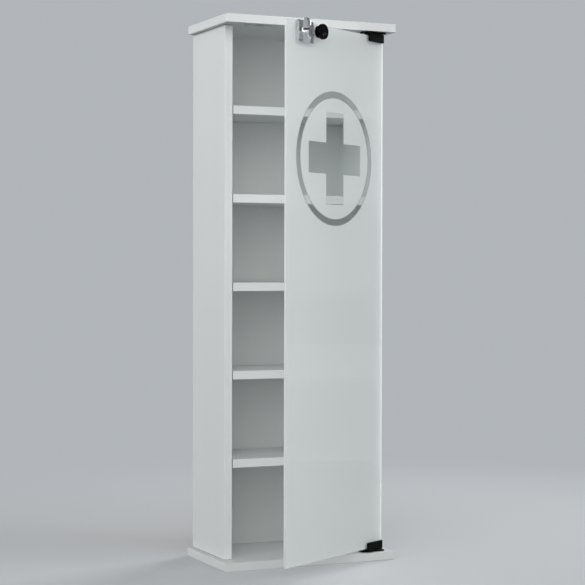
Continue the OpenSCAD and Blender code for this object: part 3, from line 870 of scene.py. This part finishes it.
@dataclass
class Door:
    """The glass, its hinges, its lock and its knob.

    Attributes:
        nodes: The frame's nodes by name.
        place: Where the door hangs.
        glass_edge: The most that the glass's eased edges may be wide, in metres.
        clamp_edge: The same, of the hinge clamps.
        lock_edge: The same, of the lock's body and bolt.
    """

    nodes: Nodes
    place: DoorPlace = DoorPlace()
    glass_edge: float = 0.0005
    clamp_edge: float = 0.0005
    lock_edge: float = 0.0004

    def dress_glass(self) -> None:
        """Gives the glass its etching, and eases its edges."""
        dress(self.nodes, SatinGlass(self.place).make(), "glass_door")
        ease_edges(self.nodes, self.glass_edge, "glass_door")

    def dress_hinges(self) -> None:
        """Gives the clamps, plates, liners and bushes their finishes."""
        dress(
            self.nodes,
            BLACK_METAL.make(),
            "top_hinge_plate",
            "bottom_hinge_plate",
            "hinge_plate_screws",
            "top_hinge_clamp",
            "bottom_hinge_clamp",
            "hinge_clamp_screws",
        )
        dress(self.nodes, BLACK_RUBBER.make(), "hinge_clamp_liners", "lock_liner")
        dress(self.nodes, BLACK_NYLON.make(), "hinge_bushes")
        ease_edges(self.nodes, self.clamp_edge, "top_hinge_clamp", "bottom_hinge_clamp")

    def dress_lock(self, zinc: bpy.types.Material) -> None:
        """Gives the lock its chrome and its small parts their zinc.

        Args:
            zinc: The small parts' material.
        """
        dress(self.nodes, SATIN_CHROME.make(), "lock_body")
        dress(self.nodes, CHROME_PLATE.make(), "lock_cylinder", "lock_bolt")
        dress(
            self.nodes,
            zinc,
            "lock_back_plate",
            "lock_plate_screws",
            "lock_grub_screws",
            "cylinder_retaining_pin",
            "knob_screw",
        )
        ease_edges(self.nodes, self.lock_edge, "lock_body", "lock_bolt")

    def dress_knob(self) -> None:
        """Gives the knob its glossy black and its washers their clear plastic."""
        dress(self.nodes, BLACK_PLASTIC.make(), "door_knob")
        dress(self.nodes, CLEAR_PLASTIC.make(), "knob_washers")


def put(name: str, data: bpy.types.ID, placing: Matrix) -> bpy.types.Object:
    """Puts something into the scene.

    Args:
        name: Its name.
        data: Its mesh, lamp or camera.
        placing: Its world matrix.

    Returns:
        Its object.
    """
    thing = bpy.data.objects.new(name, data)
    thing.matrix_world = placing
    bpy.context.scene.collection.objects.link(thing)
    return thing


def aimed(at: Point, along: np.ndarray, roll: float = 0.0) -> Matrix:
    """Works out the placing of a lamp or a camera.

    Its right is level and square to its line of sight, and its up is square to both. The
    two are then turned about that line by the roll.

    Args:
        at: Its place, in metres.
        along: The direction that it faces, of any length.
        roll: The turn about that direction, in radians.

    Returns:
        Its world matrix.
    """
    forward = along / np.linalg.norm(along)
    level = np.cross(forward, (0.0, 0.0, 1.0))
    level /= np.linalg.norm(level)
    upright = np.cross(level, forward)
    right = math.cos(roll) * level + math.sin(roll) * upright
    up = -math.sin(roll) * level + math.cos(roll) * upright
    placing = np.eye(4)
    placing[:3] = np.stack([right, up, -forward, at], axis=1)
    return Matrix(placing.tolist())


@dataclass(frozen=True)
class SoftBox:
    """A rectangular lamp of white light.

    Attributes:
        name: Its name.
        at: Its place, in metres.
        aim: The point that it faces.
        size: Its width and height.
        watts: Its power.
    """

    name: str
    at: Point
    aim: Point
    size: tuple[float, float]
    watts: float

    def hang(self) -> None:
        """Hangs the lamp."""
        lamp = bpy.data.lights.new(self.name, "AREA")
        lamp.shape = "RECTANGLE"
        lamp.size, lamp.size_y = self.size
        lamp.energy = self.watts
        put(self.name, lamp, aimed(self.at, np.subtract(self.aim, self.at)))


@dataclass(frozen=True)
class Studio:
    """The pale floor, the soft light and the camera.

    Attributes:
        backdrop: The colour of everything behind the object.
        floor_tint: The floor's colour near the object.
        bounce_tint: The colour of the light that it throws back up.
        floor_fade: From where to where the floor fades into the backdrop, in metres.
        floor_glow: The share of the backdrop in the floor near the object.
        right_shade: From where to where gloss sees the backdrop darken to the right, in
            parts of a unit direction, and the share of its light that is left.
        top_shade: The same, overhead.
        front_fill: The strength of the fill from straight in front.
        left_fill: Its strength from the left, near the horizon.
        left_fade: From which height to which the fill from the left fades.
        lamps: The soft boxes.
        eye: The camera's place, in metres.
        yaw: How far it looks to the right of straight on, in degrees.
        pitch: How far it looks up.
        roll: How far it is turned about its line of sight.
        lens: Its focal length, in millimetres.
        sensor: Its sensor's width, in millimetres.
        sight: The nearest and furthest that it sees, in metres.
    """

    backdrop: Colour = (0.44, 0.465, 0.49)
    floor_tint: Colour = (0.64, 0.66, 0.68)
    bounce_tint: Colour = (0.10, 0.095, 0.088)
    floor_fade: Span = (0.4, 1.8)
    floor_glow: float = 0.15
    right_shade: tuple[float, float, float] = (0.6, 0.93, 0.48)
    top_shade: tuple[float, float, float] = (0.25, 0.65, 0.08)
    front_fill: float = 1.12
    left_fill: float = 2.9
    left_fade: Span = (0.1, 0.6)
    lamps: tuple[SoftBox, ...] = (
        SoftBox("key", (-1.4, -2.6, 2.4), aim=(0.0, 0.0, 0.6), size=(1.4, 1.4), watts=11.0),
        SoftBox("side", (-2.7, -1.6, 1.5), aim=(0.0, 0.0, 0.5), size=(1.2, 1.8), watts=8.0),
        SoftBox("right", (2.6, -2.0, 2.5), aim=(0.0, 0.0, 0.6), size=(1.2, 1.4), watts=24.0),
        SoftBox("back", (3.3, 2.1, 2.3), aim=(0.0, 0.0, 0.5), size=(2.0, 2.0), watts=115.0),
    )
    eye: Point = (-1.3371, -2.9822, 0.5678)
    yaw: float = 24.21
    pitch: float = -0.94
    roll: float = 0.13
    lens: float = 103.9
    sensor: float = 36.0
    sight: Span = (0.05, 100.0)

    @staticmethod
    def floor_mesh(reach: float = 9.0, rings: int = 24, spokes: int = 96) -> bpy.types.Mesh:
        """Makes a level disc about the origin.

        A point of ring i and spoke j lies at radius reach times the square of i over the
        rings, in the direction of j turns over the spokes.

        Args:
            reach: The disc's radius, in metres.
            rings: How many rings it has.
            spokes: How many points each ring has.

        Returns:
            Its mesh.
        """
        radius = reach * (np.arange(1, rings + 1) / rings) ** 2
        turn = 2.0 * math.pi * np.arange(spokes) / spokes
        grid_r, grid_t = np.meshgrid(radius, turn, indexing="ij")
        ring_points = np.stack(
            [grid_r * np.cos(grid_t), grid_r * np.sin(grid_t), np.zeros_like(grid_r)], axis=-1
        ).reshape(-1, 3)
        points = np.vstack([np.zeros((1, 3)), ring_points])
        spoke = np.arange(spokes)
        after = (spoke + 1) % spokes
        centre = np.stack([np.zeros_like(spoke), 1 + spoke, 1 + after], axis=1)
        row = 1 + spokes * np.arange(rings - 1)[:, None]
        quads = np.stack(
            [row + spoke, row + spokes + spoke, row + spokes + after, row + after], axis=-1
        ).reshape(-1, 4)
        mesh = bpy.data.meshes.new("floor")
        mesh.from_pydata(points.tolist(), [], centre.tolist() + quads.tolist())
        return mesh

    def make_floor(self) -> None:
        """Makes the floor, which keeps the object's shadow and fades into the backdrop."""
        material, pad = new_material("studio_floor")
        x, y, _ = pad.split(pad.place())
        near_glow = pad.ramp(pad.length(x, y), *self.floor_fade, self.floor_glow, 1.0)
        thrown = pad.add("ShaderNodeLightPath").outputs["Is Diffuse Ray"]
        tint = pad.mix(thrown, self.floor_tint, self.bounce_tint)
        matte = pad.add("ShaderNodeBsdfDiffuse", {"Color": tint}).outputs[0]
        glow = pad.add("ShaderNodeEmission", {"Color": self.backdrop, "Strength": 1.0}).outputs[0]
        share = pad.math("MULTIPLY", self.seen(pad), near_glow)
        close(material, pad, pad.blend(share, matte, glow))
        mesh = self.floor_mesh()
        mesh.materials.append(material)
        floor = put("floor", mesh, Matrix())

    @staticmethod
    def seen(pad: NodePad) -> Socket:
        """Tells the rays that see the backdrop from those that are lit by it.

        Args:
            pad: The pad of the floor's material or of the world.

        Returns:
            A number that is 1 on rays from the camera, from gloss and through glass, but
            not beyond a matte surface.
        """
        ray = pad.add("ShaderNodeLightPath")
        glossy = pad.math("MAXIMUM", ray.outputs["Is Camera Ray"], ray.outputs["Is Glossy Ray"])
        sharp = pad.math("MAXIMUM", glossy, ray.outputs["Is Transmission Ray"])
        return pad.math("MULTIPLY", sharp, pad.math("LESS_THAN", ray.outputs["Diffuse Depth"], 0.5))

    def make_world(self) -> None:
        """Makes the world: the backdrop where it is seen, and a soft fill elsewhere.

        In gloss the backdrop darkens to the right and overhead, as in a real room, whose
        lamps stand in front and whose far wall lies in shade. The fill is the sum of two
        lobes, each of which grows smoothly from a right angle off its own direction. The
        left one is that of a window, which gives little from high up.
        """
        world = bpy.data.worlds.new("studio")
        bpy.context.scene.world = world
        world.use_nodes = True
        pad = NodePad(world.node_tree)
        x, y, z = pad.split(pad.add("ShaderNodeTexCoord").outputs["Generated"])
        room = pad.math("MULTIPLY", pad.fall(x, *self.right_shade), pad.fall(z, *self.top_shade))
        glossy = pad.add("ShaderNodeLightPath").outputs["Is Glossy Ray"]
        others = pad.math("SUBTRACT", 1.0, glossy)
        level = pad.math("ADD", others, pad.math("MULTIPLY", glossy, room))
        plain = pad.add("ShaderNodeBackground", {"Color": self.backdrop, "Strength": level})
        ahead = pad.ramp(y, -1.0, 0.0, self.front_fill, 0.0)
        beside = pad.ramp(x, -1.0, 0.0, self.left_fill, 0.0)
        window = pad.math("MULTIPLY", beside, pad.fall(z, *self.left_fade))
        fill = pad.math("ADD", ahead, window)
        soft = pad.add("ShaderNodeBackground", {"Color": WHITE, "Strength": fill})
        mixed = pad.blend(self.seen(pad), soft.outputs[0], plain.outputs[0])
        pad.add("ShaderNodeOutputWorld", {"Surface": mixed})

    def make_lamps(self) -> None:
        """Hangs the studio's soft boxes."""
        for lamp in self.lamps:
            lamp.hang()

    def make_camera(self) -> None:
        """Makes the camera from its yaw, pitch and roll.

        It looks along (sin yaw cos pitch, cos yaw cos pitch, sin pitch).
        """
        yaw, pitch, roll = (math.radians(a) for a in (self.yaw, self.pitch, self.roll))
        along = np.array(
            [math.sin(yaw) * math.cos(pitch), math.cos(yaw) * math.cos(pitch), math.sin(pitch)]
        )
        data = bpy.data.cameras.new("camera")
        data.lens = self.lens
        data.sensor_width = self.sensor
        data.clip_start, data.clip_end = self.sight
        bpy.context.scene.camera = put("camera", data, aimed(self.eye, along, roll))


def main() -> None:
    """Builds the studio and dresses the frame's nodes."""
    logging.basicConfig(level=logging.INFO, format="%(name)s: %(message)s")
    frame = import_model()
    bpy.context.scene.view_settings.view_transform = "Standard"

    studio = Studio()
    studio.make_camera()
    studio.make_floor()
    studio.make_world()
    studio.make_lamps()

    zinc = ZINC_PLATE.make()
    carcass = Carcass(frame["nodes"])
    carcass.dress_boards()
    carcass.dress_fittings(zinc)
    door = Door(frame["nodes"])
    door.dress_glass()
    door.dress_hinges()
    door.dress_lock(zinc)
    door.dress_knob()


if __name__ == "__main__":
    main()
